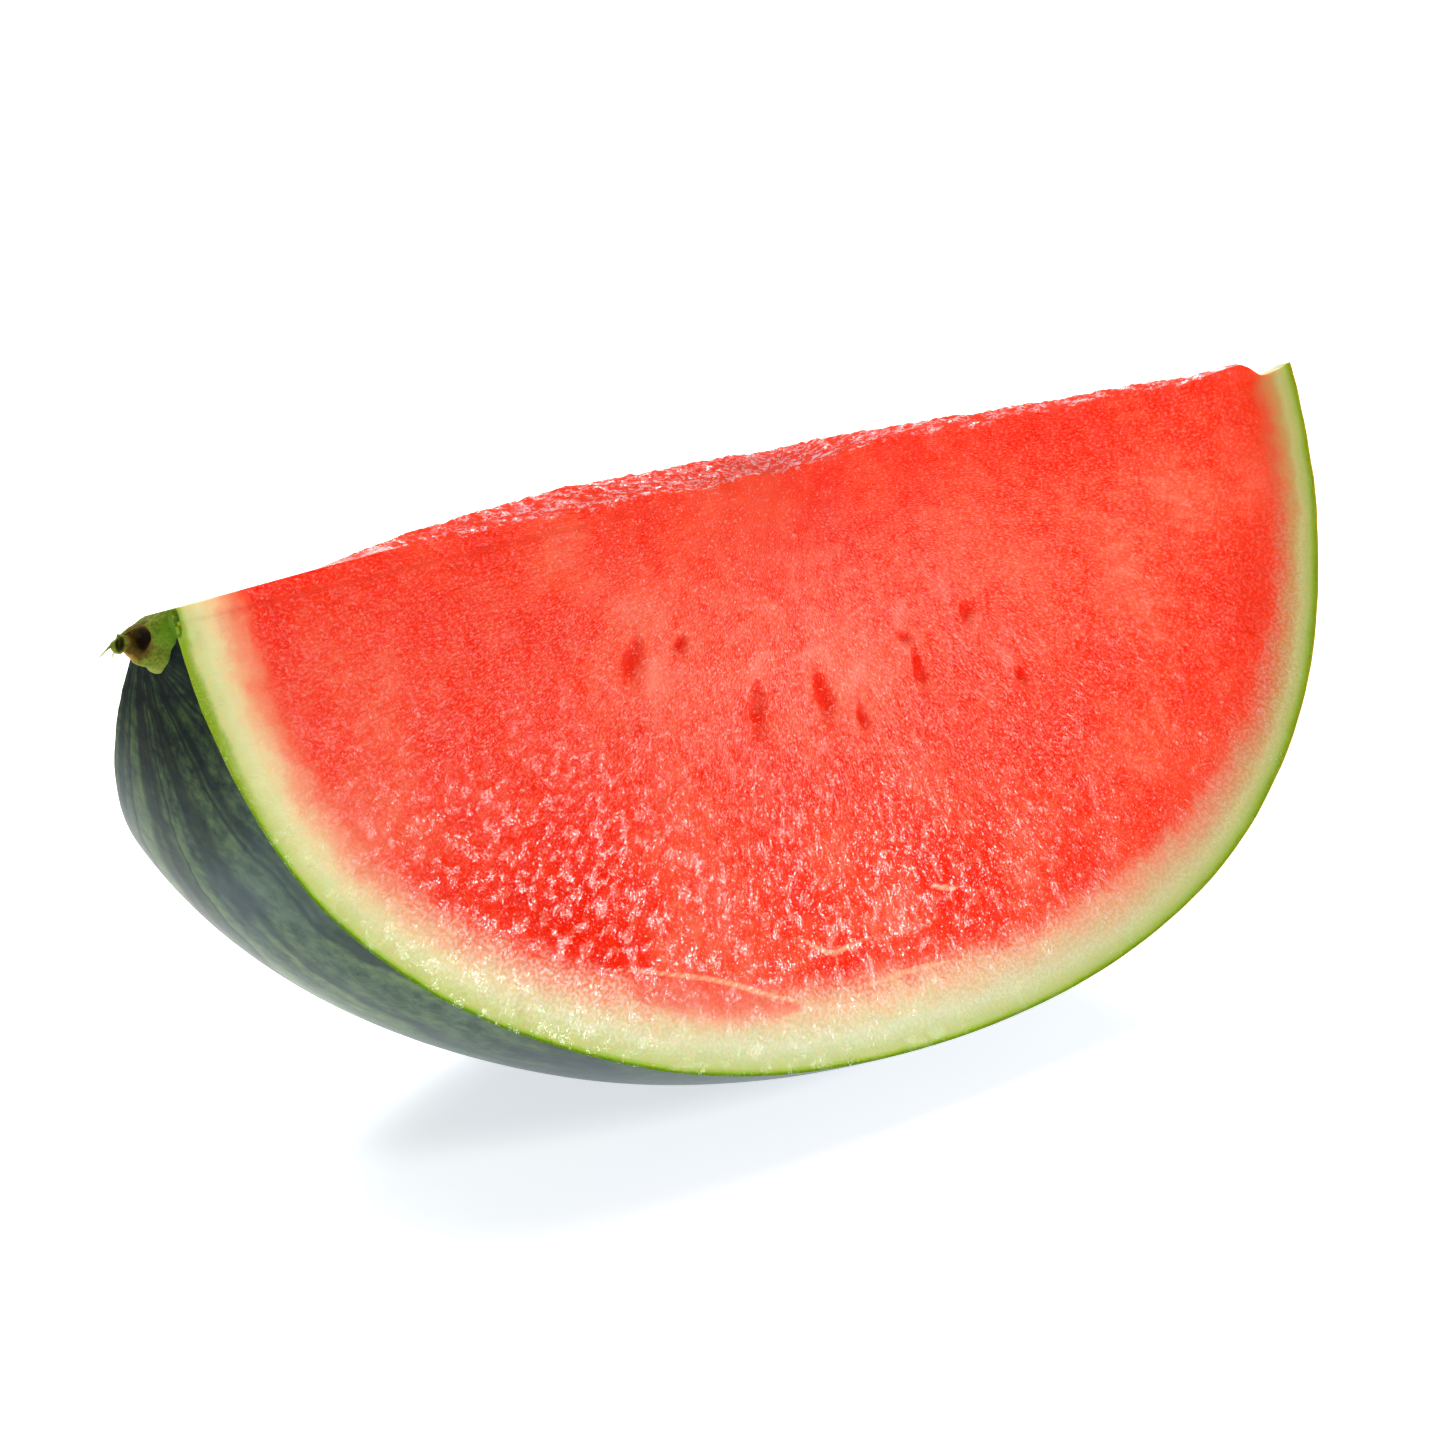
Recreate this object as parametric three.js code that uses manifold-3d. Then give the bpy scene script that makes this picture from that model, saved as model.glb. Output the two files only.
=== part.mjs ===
// A wedge of seedless watermelon, cut lengthwise and lying on its skin, with the
// stalk stub still on its stem end. Millimetres, +Z up, and the origin under the
// middle of the piece, on the surface that it lies on.
//
// The fruit's axis runs along X, with the stem end at -X and the blossom end at +X.
// The near cut face looks to -Y, the far cut face to +Y, and the two meet in a ridge
// along the top, which tore instead of coming away clean. The wedge is one grown
// piece: flesh, rind and skin are one solid. The stub is a piece of its own.

import * as THREE from 'three';
import { mergeVertices } from 'three/addons/utils/BufferGeometryUtils.js';
import { ImprovedNoise } from 'three/addons/math/ImprovedNoise.js';
import Module from 'manifold-3d';

const wasm = await Module();
wasm.setup();

// ---- Driving dimensions ----

const HALF_LENGTH = 120;             // of the whole fruit, along its axis
const GIRTH_RADIUS = 103.5;          // scale of the fruit's round section
const BODY_SHAPE = [-0.023, 0.099, 0.013, 0.021, 0.009, 0.005]; // cosine terms of its outline
const AXIS_TILT = 1.5;               // degrees that the lying fruit's stem end is raised
const REST_FLAT_DEPTH = 0.4;         // how far the skin is flattened where it lies

// Each cut is a plane through the fruit: its angle from upright, how far it passes
// outside the fruit's axis half way along, and how much it is skewed along the axis.
const NEAR_CUT = { angle: 26.5, offset: 3.5, skew: -3.1, seed: 1.5 };
const FAR_CUT = { angle: 26, offset: 1.8, skew: 0.6, seed: 4.5 };

// The ridge, from stem to blossom end: place along the axis, height of the near face's
// top edge above the axis, slope of the torn top towards the back, and how far torn
// flesh stands out past the far cut.
const RIDGE = [
  { x: -120, height: 6.8, slope: -0.46, tear: 0 },
  { x: -88, height: 6.8, slope: -0.46, tear: 0 },
  { x: -66, height: 6.2, slope: 0.45, tear: 0.6 },
  { x: -44, height: 5.4, slope: 0.45, tear: 2.5 },
  { x: -10, height: 3.4, slope: 0.45, tear: 2.9 },
  { x: 6, height: 2.6, slope: 0.45, tear: 2.3 },
  { x: 24, height: 2.9, slope: 0.45, tear: 1.6 },
  { x: 66, height: 0.8, slope: 0.4, tear: 0.1 },
  { x: 98, height: -1.0, slope: 0.05, tear: 0 },
  { x: 106, height: -0.6, slope: -0.1, tear: 0 },
  { x: 110.5, height: -3.4, slope: -0.45, tear: 0 },
  { x: 115, height: -3.2, slope: -0.45, tear: 0 },
  { x: 120, height: -2.7, slope: -0.45, tear: 0 },
];
const TEAR = { top: -6, foot: 14 };  // where down the far face it is thickest, and gone
const ROUGH = { from: -88, to: 106, fade: 18 };   // the part of the ridge that tore

// Lumps of the flesh, as wide ones with finer ones on them.
const CUT_RELIEF = { height: 0.35, length: 13 };
const TORN_RELIEF = { height: 0.55, length: 6, seed: 8.5 };
const FINE_LUMPS = { ratio: 2.3, height: 0.5, seed: 7 };

// Empty seed cavities: place along the axis and down the face, length, width and turn.
const PIT = { depth: 1.8, lift: 0.3, sides: 8, rings: 6 };
const NEAR_PITS = [
  { x: -36.3, down: 21.3, length: 5.8, width: 3.4, turn: 109 },
  { x: -25.5, down: 21.6, length: 3.4, width: 2.2, turn: 109 },
  { x: -13.6, down: 33.9, length: 7.2, width: 3.4, turn: 109 },
  { x: -0.1, down: 35.1, length: 8.1, width: 4.0, turn: 92 },
  { x: 6.9, down: 39.8, length: 4.8, width: 2.6, turn: 83 },
  { x: 20.3, down: 33.0, length: 8.2, width: 2.4, turn: 70 },
  { x: 33.9, down: 28.2, length: 5.7, width: 3.2, turn: 61 },
  { x: 42.4, down: 40.6, length: 3.4, width: 2.2, turn: 95 },
];
const FAR_PITS = [
  { x: -41, down: 33, length: 6.5, width: 3.2, turn: 112 },
  { x: -22, down: 41, length: 7.6, width: 3.6, turn: 101 },
  { x: -4, down: 30, length: 4.6, width: 2.8, turn: 92 },
  { x: 14, down: 43, length: 7.8, width: 3.4, turn: 84 },
  { x: 31, down: 34, length: 6.2, width: 3.0, turn: 72 },
  { x: 47, down: 26, length: 4.4, width: 2.6, turn: 66 },
];

// The stalk stub: where its middle leaves the skin, its outline from the root's end to
// the bottom of the hollow in its broken top, and how much further it stands out at the
// far side than at the near side.
const STUB_PLACE = { y: -4.3, z: 1.6 };
const STUB_ROOT = { radius: 3.9, depth: 2.6 };
const STUB_OUTLINE = [
  [3.9, 0], [5.5, 0], [6.0, 0.35], [5.6, 1.1], [5.1, 2.2], [4.8, 3.2],
  [4.2, 3.8], [3.4, 3.9], [2.8, 3.1], [2.2, 1.9], [1.2, 1.3], [0, 1.15],
];
const STUB_SLANT = 0.075;            // of its height, for each mm across it
const STUB_BREAK = { height: 3.9, across: 0.5, out: 0.5, block: 30 }; // its sloping upper side
const STUB_LOBES = { count: 3, height: 0.06, turn: 0.6 };
const KNOB = { radius: 1.4, stretch: 1.2, out: 4.4, y: 3.1, z: -1.3, sides: 9, rings: 7 };
const FIBRE_TIP = 0.12;
const FIBRE_ROOT = 1;                // how deep a fibre starts in the knob
const FIBRES = [
  { length: 3.4, radius: 0.4, out: 0.86, y: 0.25, z: -0.45 },
  { length: 2.6, radius: 0.5, out: 0.2, y: 0.15, z: -0.97 },
];
const FIT_GAP = 0.3;                 // between the stub and the skin round it

// How finely the surfaces are divided.
const RINGS = 58;
const SECTORS = 96;
const STUB_SIDES = 22;
const FIBRE_SIDES = 5;
const NEAR_GRID = [50, 23];
const FAR_GRID = [42, 19];
const TOP_GRID = [64, 18];

// The blocks that stand for the cuts.
const FACE_LENGTH = 262;
const FACE_DEPTH = 122;
const FACE_RISE = 16;                // how far up past the axis a face's block reaches
const TOP_BREADTH = 124;
const BEYOND = 160;                  // how far a block reaches into the fruit
const SLAB = 20;

const WELD = 1e-4;                   // points closer than this are one
const UP = new THREE.Vector3(0, 0, 1);
const radians = THREE.MathUtils.degToRad;
const { lerp, smoothstep } = THREE.MathUtils;
const noise = new ImprovedNoise();

// ---- Solids ----

// A closed geometry as a solid that can be joined and cut.
function solid(geometry) {
  const plain = geometry.clone();
  plain.deleteAttribute('normal');
  plain.deleteAttribute('uv');
  const merged = mergeVertices(plain, WELD);
  return new wasm.Manifold(new wasm.Mesh({
    numProp: 3,
    vertProperties: merged.attributes.position.array,
    triVerts: new Uint32Array(merged.index.array),
  }));
}

function geometryOf(body) {
  const mesh = body.getMesh();
  const geometry = new THREE.BufferGeometry();
  geometry.setAttribute('position', new THREE.BufferAttribute(mesh.vertProperties, 3));
  geometry.setIndex(new THREE.BufferAttribute(mesh.triVerts, 1));
  geometry.computeVertexNormals();
  return geometry;
}

// Moves every vertex of a geometry by a function of its place.
function reshape(geometry, move) {
  const position = geometry.attributes.position;
  const point = new THREE.Vector3();
  for (let i = 0; i < position.count; i++) {
    move(point.fromBufferAttribute(position, i));
    position.setXYZ(i, point.x, point.y, point.z);
  }
  return geometry;
}

// ---- The fruit ----

// The radius of the skin at an angle from the stem end (0) to the blossom end (pi).
function skinRadius(angle) {
  const squaring = BODY_SHAPE.reduce((sum, c, k) => sum + c * Math.cos((k + 1) * angle), 1);
  return GIRTH_RADIUS * Math.sin(angle) * squaring;
}

function wholeFruit() {
  const outline = [];
  for (let i = 0; i <= RINGS; i++) {
    const angle = Math.PI * i / RINGS;
    const radius = i === 0 || i === RINGS ? 0 : skinRadius(angle);
    outline.push(new THREE.Vector2(radius, -HALF_LENGTH * Math.cos(angle)));
  }
  return solid(new THREE.LatheGeometry(outline, SECTORS).rotateZ(-Math.PI / 2));
}

// ---- The cuts ----

// One of the ridge's values at a place along the axis.
function ridge(key, x) {
  const next = RIDGE.findIndex((station) => station.x > x);
  if (next === 0) return RIDGE[0][key];
  if (next < 0) return RIDGE.at(-1)[key];
  const [a, b] = [RIDGE[next - 1], RIDGE[next]];
  return lerp(a[key], b[key], (x - a.x) / (b.x - a.x));
}

function lumps(relief, x, y, seed) {
  const [u, v] = [x / relief.length, y / relief.length];
  const { ratio, height } = FINE_LUMPS;
  const wide = noise.noise(u, v, seed);
  const fine = noise.noise(ratio * u, ratio * v, seed + FINE_LUMPS.seed);
  return relief.height * (wide + height * fine);
}

const planeOffset = (cut, x) => cut.offset + Math.tan(radians(cut.skew)) * x;

// How far the near cut face stands out from the axis. up is measured up the face.
function nearSurface(x, up) {
  return planeOffset(NEAR_CUT, x) + lumps(CUT_RELIEF, x, up, NEAR_CUT.seed);
}

// The same for the far cut face, with the torn flesh along its top.
function farSurface(x, down) {
  const torn = ridge('tear', x) * (1 - smoothstep(down, TEAR.top, TEAR.foot));
  return planeOffset(FAR_CUT, x) + torn + lumps(CUT_RELIEF, x, down, FAR_CUT.seed);
}

// The height of the torn top over the axis.
function topSurface(x, y) {
  const angle = radians(NEAR_CUT.angle);
  const height = ridge('height', x);
  const edge = height * Math.tan(angle) - planeOffset(NEAR_CUT, x) / Math.cos(angle);
  const rough = smoothstep(x, ROUGH.from, ROUGH.from + ROUGH.fade)
    * (1 - smoothstep(x, ROUGH.to - ROUGH.fade, ROUGH.to));
  const torn = rough * lumps(TORN_RELIEF, x, y, TORN_RELIEF.seed);
  return height + ridge('slope', x) * (y - edge) + torn;
}

// A block that holds everything under a surface given over its length and breadth. A
// crowding over 1 divides the breadth more finely at its middle.
function blockUnder(surface, breadth, middle, grid, crowding) {
  const block = new THREE.BoxGeometry(FACE_LENGTH, 2, 2, ...grid, 1);
  return reshape(block, (p) => {
    p.y = middle + Math.sign(p.y) * Math.abs(p.y) ** crowding * breadth / 2;
    p.z = p.z > 0 ? surface(p.x, p.y) : -BEYOND;
  });
}

const nearTurn = Math.PI / 2 - radians(NEAR_CUT.angle);
const farTurn = radians(FAR_CUT.angle) - Math.PI / 2;

function keptByTheCuts() {
  const middle = FACE_DEPTH / 2 - FACE_RISE;
  const near = blockUnder(nearSurface, FACE_DEPTH, -middle, NEAR_GRID, 1).rotateX(nearTurn);
  const far = blockUnder(farSurface, FACE_DEPTH, middle, FAR_GRID, 1).rotateX(farTurn);
  return solid(near).intersect(solid(far));
}

// ---- Seed cavities ----

// A smooth almond-shaped hollow, sunk into a cut face.
function pit(place, cut, turn, side) {
  const hollow = new THREE.SphereGeometry(1, PIT.sides, PIT.rings).rotateX(Math.PI / 2);
  hollow.scale(place.length / 2, place.width / 2, PIT.depth);
  hollow.rotateZ(-side * radians(place.turn));
  hollow.translate(place.x, -side * place.down, planeOffset(cut, place.x) + PIT.lift);
  return solid(hollow.rotateX(turn));
}

// ---- The stalk stub ----

// The skin drops away from the stem end as a ball of this radius does.
const endRadius = (GIRTH_RADIUS * BODY_SHAPE.reduce((sum, c) => sum + c, 1)) ** 2 / HALF_LENGTH;

// From the stub's own frame (up, across and out along the fruit's axis) to the fruit's.
function placeOnStem(point) {
  const [up, across, out] = point;
  const y = STUB_PLACE.y + across;
  const z = STUB_PLACE.z + up;
  const drop = (y * y + z * z) / (2 * endRadius);
  point[0] = drop - HALF_LENGTH - FIT_GAP - out;
  point[1] = y;
  point[2] = z;
}

function stubBody() {
  const outline = [
    new THREE.Vector2(0, -STUB_ROOT.depth),
    new THREE.Vector2(STUB_ROOT.radius, -STUB_ROOT.depth),
    ...STUB_OUTLINE.map(([radius, out]) => new THREE.Vector2(radius, out)),
  ];
  const body = new THREE.LatheGeometry(outline, STUB_SIDES).rotateX(Math.PI / 2);
  return reshape(body, (p) => {
    if (p.z > 0) {
      const around = Math.atan2(p.y, p.x);
      const lobe = 1 + STUB_LOBES.height * Math.sin(STUB_LOBES.count * around + STUB_LOBES.turn);
      p.z *= 1 + STUB_SLANT * p.y;
      p.x *= lobe;
      p.y *= lobe;
    }
  });
}

// A block under the plane that the upper side broke along.
function underTheBreak() {
  const { height, across, out, block } = STUB_BREAK;
  const normal = new THREE.Vector3(1, across, out).normalize();
  const body = new THREE.BoxGeometry(block, block, block).translate(0, 0, -block / 2);
  body.applyQuaternion(new THREE.Quaternion().setFromUnitVectors(UP, normal));
  return body.translate(height, 0, 0);
}

function fibre(shape) {
  const along = new THREE.Vector3(shape.z, shape.y, shape.out).normalize();
  const length = shape.length + FIBRE_ROOT;
  const cone = new THREE.CylinderGeometry(FIBRE_TIP, shape.radius, length, FIBRE_SIDES);
  cone.rotateX(Math.PI / 2).translate(0, 0, (length - FIBRE_ROOT) / 2);
  cone.applyQuaternion(new THREE.Quaternion().setFromUnitVectors(UP, along));
  return cone.translate(KNOB.z, KNOB.y, KNOB.out);
}

function stalkStub() {
  const knob = new THREE.SphereGeometry(KNOB.radius, KNOB.sides, KNOB.rings);
  knob.scale(1, 1, KNOB.stretch);
  knob.translate(KNOB.z, KNOB.y, KNOB.out);
  const body = solid(stubBody()).intersect(solid(underTheBreak()));
  const whole = [knob, ...FIBRES.map(fibre)].reduce((sum, part) => sum.add(solid(part)), body);
  return whole.warp(placeOnStem);
}

// The hole in the fruit that the stub's root grows from.
function stubSocket() {
  const depth = STUB_ROOT.depth + 2 * FIT_GAP;
  const radius = STUB_ROOT.radius + FIT_GAP;
  const hole = new THREE.CylinderGeometry(radius, radius, 2 * depth, STUB_SIDES);
  return solid(hole.rotateX(Math.PI / 2)).warp(placeOnStem);
}

// ---- Assembly ----

const kept = keptByTheCuts().intersect(solid(blockUnder(topSurface, TOP_BREADTH, 0, TOP_GRID, 2)));

// Everything under the surface that the wedge lies on.
function restCut(body) {
  const level = new THREE.Box3().setFromObject(
    new THREE.Mesh(geometryOf(body).rotateY(radians(AXIS_TILT))),
  ).min.z + REST_FLAT_DEPTH;
  const slab = new THREE.BoxGeometry(FACE_LENGTH, FACE_LENGTH, SLAB);
  slab.translate(0, 0, level - SLAB / 2);
  return solid(slab.rotateY(-radians(AXIS_TILT)));
}

let wedge = wholeFruit().intersect(kept);
for (const place of NEAR_PITS) wedge = wedge.subtract(pit(place, NEAR_CUT, nearTurn, 1));
for (const place of FAR_PITS) wedge = wedge.subtract(pit(place, FAR_CUT, farTurn, -1));
wedge = wedge.subtract(stubSocket());
wedge = wedge.subtract(restCut(wedge));
const stub = stalkStub().intersect(kept);

function piece(name, body, color, roughness) {
  const mesh = new THREE.Mesh(
    geometryOf(body),
    new THREE.MeshStandardMaterial({ color, roughness, metalness: 0 }),
  );
  mesh.name = name;
  return mesh;
}

const fruit = new THREE.Group();
fruit.add(piece('wedge', wedge, 0xf2502e, 0.32));
fruit.add(piece('stem_stub', stub, 0x7d8f35, 0.6));
fruit.rotation.y = radians(AXIS_TILT);

// Stand the piece on the origin.
const part = new THREE.Group();
part.add(fruit);
part.updateMatrixWorld(true);
const box = new THREE.Box3().setFromObject(part, true);
const centre = box.getCenter(new THREE.Vector3());
fruit.position.set(-centre.x, -centre.y, -box.min.z);

export default part;
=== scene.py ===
# %% [markdown]
# # A wedge of seedless watermelon
#
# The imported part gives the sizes: a long wedge cut from a whole melon, lying on its
# skin, with the stub of the stalk on its stem end. Here both pieces are made again
# with a fine surface and given their colours. Lengths are worked out in millimetres in
# the fruit's own frame, whose axis is X, and the finished mesh is moved to the part's
# frame in metres.

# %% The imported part
import math

import bmesh
import bpy
import numpy as np
from mathutils import Matrix, Vector, noise
from mathutils.bvhtree import BVHTree


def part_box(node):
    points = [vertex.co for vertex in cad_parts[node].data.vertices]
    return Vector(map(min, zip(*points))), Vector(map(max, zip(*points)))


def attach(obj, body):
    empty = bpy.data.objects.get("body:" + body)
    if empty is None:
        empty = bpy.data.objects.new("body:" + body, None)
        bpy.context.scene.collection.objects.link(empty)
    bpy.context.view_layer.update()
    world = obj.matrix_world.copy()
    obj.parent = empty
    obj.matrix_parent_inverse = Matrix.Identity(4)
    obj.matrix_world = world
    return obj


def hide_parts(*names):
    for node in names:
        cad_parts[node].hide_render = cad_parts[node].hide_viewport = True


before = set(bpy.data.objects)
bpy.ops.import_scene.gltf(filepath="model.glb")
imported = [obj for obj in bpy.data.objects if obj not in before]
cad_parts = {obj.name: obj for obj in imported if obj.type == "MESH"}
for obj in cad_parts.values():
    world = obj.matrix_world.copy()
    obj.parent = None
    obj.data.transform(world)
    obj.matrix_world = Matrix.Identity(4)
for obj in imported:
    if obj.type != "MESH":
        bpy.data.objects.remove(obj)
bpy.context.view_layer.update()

from types import SimpleNamespace

MM = 0.001

# %% [markdown]
# ## Where the fruit lies
#
# The whole melon would lie with its stem end raised a little, so its axis is turned by
# a small angle about Y. The wedge's box tells where its centre is.

# %% The fruit's frame
AXIS_TILT = math.radians(1.5)
BOX_TO_CENTRE = Vector((119.959, 45.948, 94.641))
fruit_centre = Vector(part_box("wedge")[0]) + BOX_TO_CENTRE * MM
to_part = Matrix.Translation(fruit_centre) @ Matrix.Rotation(AXIS_TILT, 4, "Y") @ Matrix.Scale(MM, 4)
print("fruit centre", tuple(round(c, 5) for c in fruit_centre))

# %% [markdown]
# ## The camera
#
# A long lens stands over a metre away, to the left of the near cut face and a little
# above the wedge, so the long face is seen with hardly any perspective.

# %% Camera
AZIMUTH, ELEVATION = math.radians(-38.464), math.radians(22.122)
DISTANCE = 1.2
SENSOR, LENS = 36.0, 184.748
AIM_RIGHT, AIM_UP = -0.005112, -0.038173

level = math.cos(ELEVATION)
back = Vector((math.sin(AZIMUTH) * level, -math.cos(AZIMUTH) * level, math.sin(ELEVATION)))
right = Vector((math.cos(AZIMUTH), math.sin(AZIMUTH), 0.0))
up = back.cross(right)
camera = bpy.data.objects.new("camera", bpy.data.cameras.new("camera"))
camera.data.sensor_width = SENSOR
camera.data.lens = LENS
camera.location = fruit_centre + back * DISTANCE + right * AIM_RIGHT + up * AIM_UP
camera.rotation_euler = Matrix((right, up, back)).transposed().to_euler()
bpy.context.scene.collection.objects.link(camera)
bpy.context.scene.camera = camera
print("camera at", tuple(round(c, 3) for c in camera.location))

# %% [markdown]
# ## The skin of the whole fruit
#
# A melon is a ball drawn out along its stem. It could be spun from an outline, or a
# ball's rings could be moved onto that outline. The ball is simpler: its poles are
# closed, and a ring's angle from the stem end gives its radius by one formula.

# %% Whole fruit
HALF_LENGTH = 120.0
GIRTH_RADIUS = 103.5
BODY_SHAPE = (-0.023, 0.099, 0.013, 0.021, 0.009, 0.005)
SKIN_RINGS, SKIN_SECTORS = 150, 300
SKIN_SWELL = 0.22


def skin_radius(angle):
    """The skin's radius at an angle from the stem end (0) to the blossom end (pi)."""
    squaring = 1 + sum(c * math.cos((k + 1) * angle) for k, c in enumerate(BODY_SHAPE))
    return GIRTH_RADIUS * math.sin(angle) * squaring


fruit = bmesh.new()
bmesh.ops.create_uvsphere(fruit, u_segments=SKIN_SECTORS, v_segments=SKIN_RINGS, radius=1)
bmesh.ops.rotate(fruit, verts=fruit.verts, cent=(0, 0, 0), matrix=Matrix.Rotation(math.pi / 2, 3, "Y"))
for vert in fruit.verts:
    x, y, z = vert.co
    ring = math.hypot(y, z)
    vert.co.x = x * HALF_LENGTH
    if ring > 1e-6:
        radius = skin_radius(math.atan2(ring, -x)) / ring
        vert.co.y, vert.co.z = y * radius, z * radius
        swell = 1 + SKIN_SWELL * ring * noise.noise(vert.co / 26.0) / 95.0
        vert.co.y *= swell
        vert.co.z *= swell
skin_tree = BVHTree.FromBMesh(fruit)
print("whole fruit", len(fruit.faces), "faces, girth radius", round(skin_radius(math.pi / 2), 1), "mm")

# %% [markdown]
# ## The knives
#
# The wedge was cut with two long cuts, and its top tore open where they nearly met.
# Each cut is a block that holds everything on the kept side, and its upper surface is
# a fine grid: nearly flat for a cut, rough for the tear. The wedge is what is left of
# the fruit inside all three blocks, so every edge meets exactly as it does on a real
# slice, which a wedge built from its corners could not do on such a curved skin.

# %% Surfaces of the cuts
NEAR_ANGLE, NEAR_OFFSET, NEAR_SKEW = math.radians(26.5), 3.5, math.tan(math.radians(-3.1))
FAR_ANGLE, FAR_OFFSET, FAR_SKEW = math.radians(26.0), 1.8, math.tan(math.radians(0.6))
NEAR_TURN = Matrix.Rotation(math.pi / 2 - NEAR_ANGLE, 4, "X")
FAR_TURN = Matrix.Rotation(FAR_ANGLE - math.pi / 2, 4, "X")
RIDGE = np.array((
    # place, height of the near edge, slope of the top, torn flesh behind
    (-120, 6.8, -0.46, 0), (-88, 6.8, -0.46, 0), (-66, 6.2, 0.45, 0.6), (-44, 5.4, 0.45, 2.5),
    (-10, 3.4, 0.45, 2.9), (6, 2.6, 0.45, 2.3), (24, 2.9, 0.45, 1.6), (66, 0.8, 0.4, 0.1),
    (98, -1.0, 0.05, 0), (105, -0.5, -0.1, 0), (108.5, -0.6, -0.15, 0), (110.3, -1.5, -0.3, 0),
    (112.3, -3.0, -0.45, 0), (114.5, -3.1, -0.45, 0), (120, -2.2, -0.45, 0),
))
HEIGHT, SLOPE, TEAR = 1, 2, 3


def ridge(column, x):
    return float(np.interp(x, RIDGE[:, 0], RIDGE[:, column]))


def smoothstep(value, low, high):
    t = min(max((value - low) / (high - low), 0.0), 1.0)
    return t * t * (3 - 2 * t)


def lump(x, y, size, seed):
    """Soft noise between about -1 and 1, with lumps of one size in millimetres."""
    return noise.noise(Vector((x / size, y / size, seed)))


print("ridge runs from", ridge(HEIGHT, -120), "to", ridge(HEIGHT, 120), "mm over the axis")

# %% [markdown]
# ## Empty seed cavities
#
# A seedless melon still has small soft hollows where seeds would sit, in a row round
# its heart. They are almond-shaped and point towards the skin. They are pressed into
# the cut's grid, whose cells are first divided there.

# %% Seed cavities
PIT_DEPTH = 1.0
NEAR_PITS = (
    # along the axis, down the face, length, width, turn in degrees
    (-36.2, 22.1, 8.4, 4.2, 62), (-25.9, 21.7, 4.2, 2.8, 60), (-14.1, 34.5, 8.8, 3.6, 69),
    (-0.1, 35.5, 9.2, 3.8, 93), (6.8, 40.2, 5.7, 2.2, 95), (19.8, 29.7, 3.6, 2.6, 142),
    (21.1, 35.2, 8.3, 2.3, 96), (34.1, 28.3, 4.5, 2.8, 98), (41.8, 40.5, 3.8, 2.0, 100),
)
FAR_PITS = (
    (-41, 33, 6.5, 3.2, 68), (-22, 41, 7.6, 3.6, 79), (-4, 30, 4.6, 2.8, 88),
    (14, 43, 7.8, 3.4, 96), (31, 34, 6.2, 3.0, 108), (47, 26, 4.4, 2.6, 114),
)


def pit_distance(pits, x, down):
    """How far a point is from the nearest cavity's middle, where 1 is its rim."""
    nearest = 4.0
    for px, pdown, length, width, turn in pits:
        dx, dy = x - px, pdown - down
        if abs(dx) < 16 and abs(dy) < 16:
            c, s = math.cos(math.radians(turn)), math.sin(math.radians(turn))
            u, v = (dx * c + dy * s) * 2 / length, (dy * c - dx * s) * 2 / width
            v *= 1 + 0.35 * u
            nearest = min(nearest, math.hypot(u, v))
    return nearest


def pit_drop(distance):
    """How deep a cavity is at that distance, with a soft rim that stands up a little."""
    raised_rim = 0.16 * math.exp(-((distance - 1.5) / 0.35) ** 2)
    return PIT_DEPTH * (1 - smoothstep(distance, 0.1, 1.25)) - raised_rim


print(len(NEAR_PITS), "cavities on the near face,", len(FAR_PITS), "on the far face")

# %% [markdown]
# A knife leaves the flesh in soft waves with lumps of juice sacs on them. Each surface
# is one height formula, so its grid can be as fine as it needs to be.

# %% Relief of the cut flesh
def flesh_relief(x, down, seed, coarse):
    """Juice sacs stand up in soft lumps; coarse is how strongly they do."""
    soft = 0.30 * lump(x, down, 13.0, seed) + 0.14 * lump(x, down, 5.6, seed + 3)
    sacs = lump(x, down, 2.9, seed + 5)
    return soft + coarse * (0.13 * sacs + 0.10 * abs(lump(x, down, 4.3, seed + 8)))


def coarseness(x, down):
    """The sacs are largest low in the middle of the face, and small near the ridge."""
    return 0.55 + 1.35 * math.exp(-((x + 52) / 42) ** 2 - ((down - 66) / 32) ** 2)


def near_height(x, up_face):
    down = -up_face
    plane = NEAR_OFFSET + NEAR_SKEW * x
    dents = pit_drop(pit_distance(NEAR_PITS, x, down) + 0.4 * lump(x, down, 2.2, 41.0))
    near_tear = 0.35 * math.exp(-max(down - 1, 0) / 2.5) * lump(x, down, 2.4, 31.0)
    return plane + flesh_relief(x, down, 1.5, coarseness(x, down)) + near_tear - dents


def far_height(x, down):
    torn = ridge(TEAR, x) * (1 - smoothstep(down, -6, 14))
    dents = pit_drop(pit_distance(FAR_PITS, x, down) + 0.4 * lump(x, down, 2.2, 43.0))
    return FAR_OFFSET + FAR_SKEW * x + torn + flesh_relief(x, down, 4.5, 0.9) - dents


def top_height(x, y):
    """The torn top, whose near edge follows the ridge and which slopes away behind it."""
    height = ridge(HEIGHT, x)
    edge = height * math.tan(NEAR_ANGLE) - (NEAR_OFFSET + NEAR_SKEW * x) / math.cos(NEAR_ANGLE)
    rough = smoothstep(x, -88, -62) * (1 - smoothstep(x, 92, 106))
    torn = 0.42 * lump(x, y, 6.0, 8.5) + 0.40 * lump(x, y * 1.5, 2.6, 11.0)
    torn += 0.42 * lump(x, y * 1.3, 1.1, 14.0)
    return height + ridge(SLOPE, x) * (y - edge) + (0.06 + 0.94 * rough) * torn


print("coarsest flesh", round(coarseness(-42, 62), 2), "finest", round(coarseness(100, 0), 2))

# %% [markdown]
# A knife's grid is spread over its length and breadth, divided again round the
# cavities, lifted by its height formula, and closed below by drawing its border down.

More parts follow.
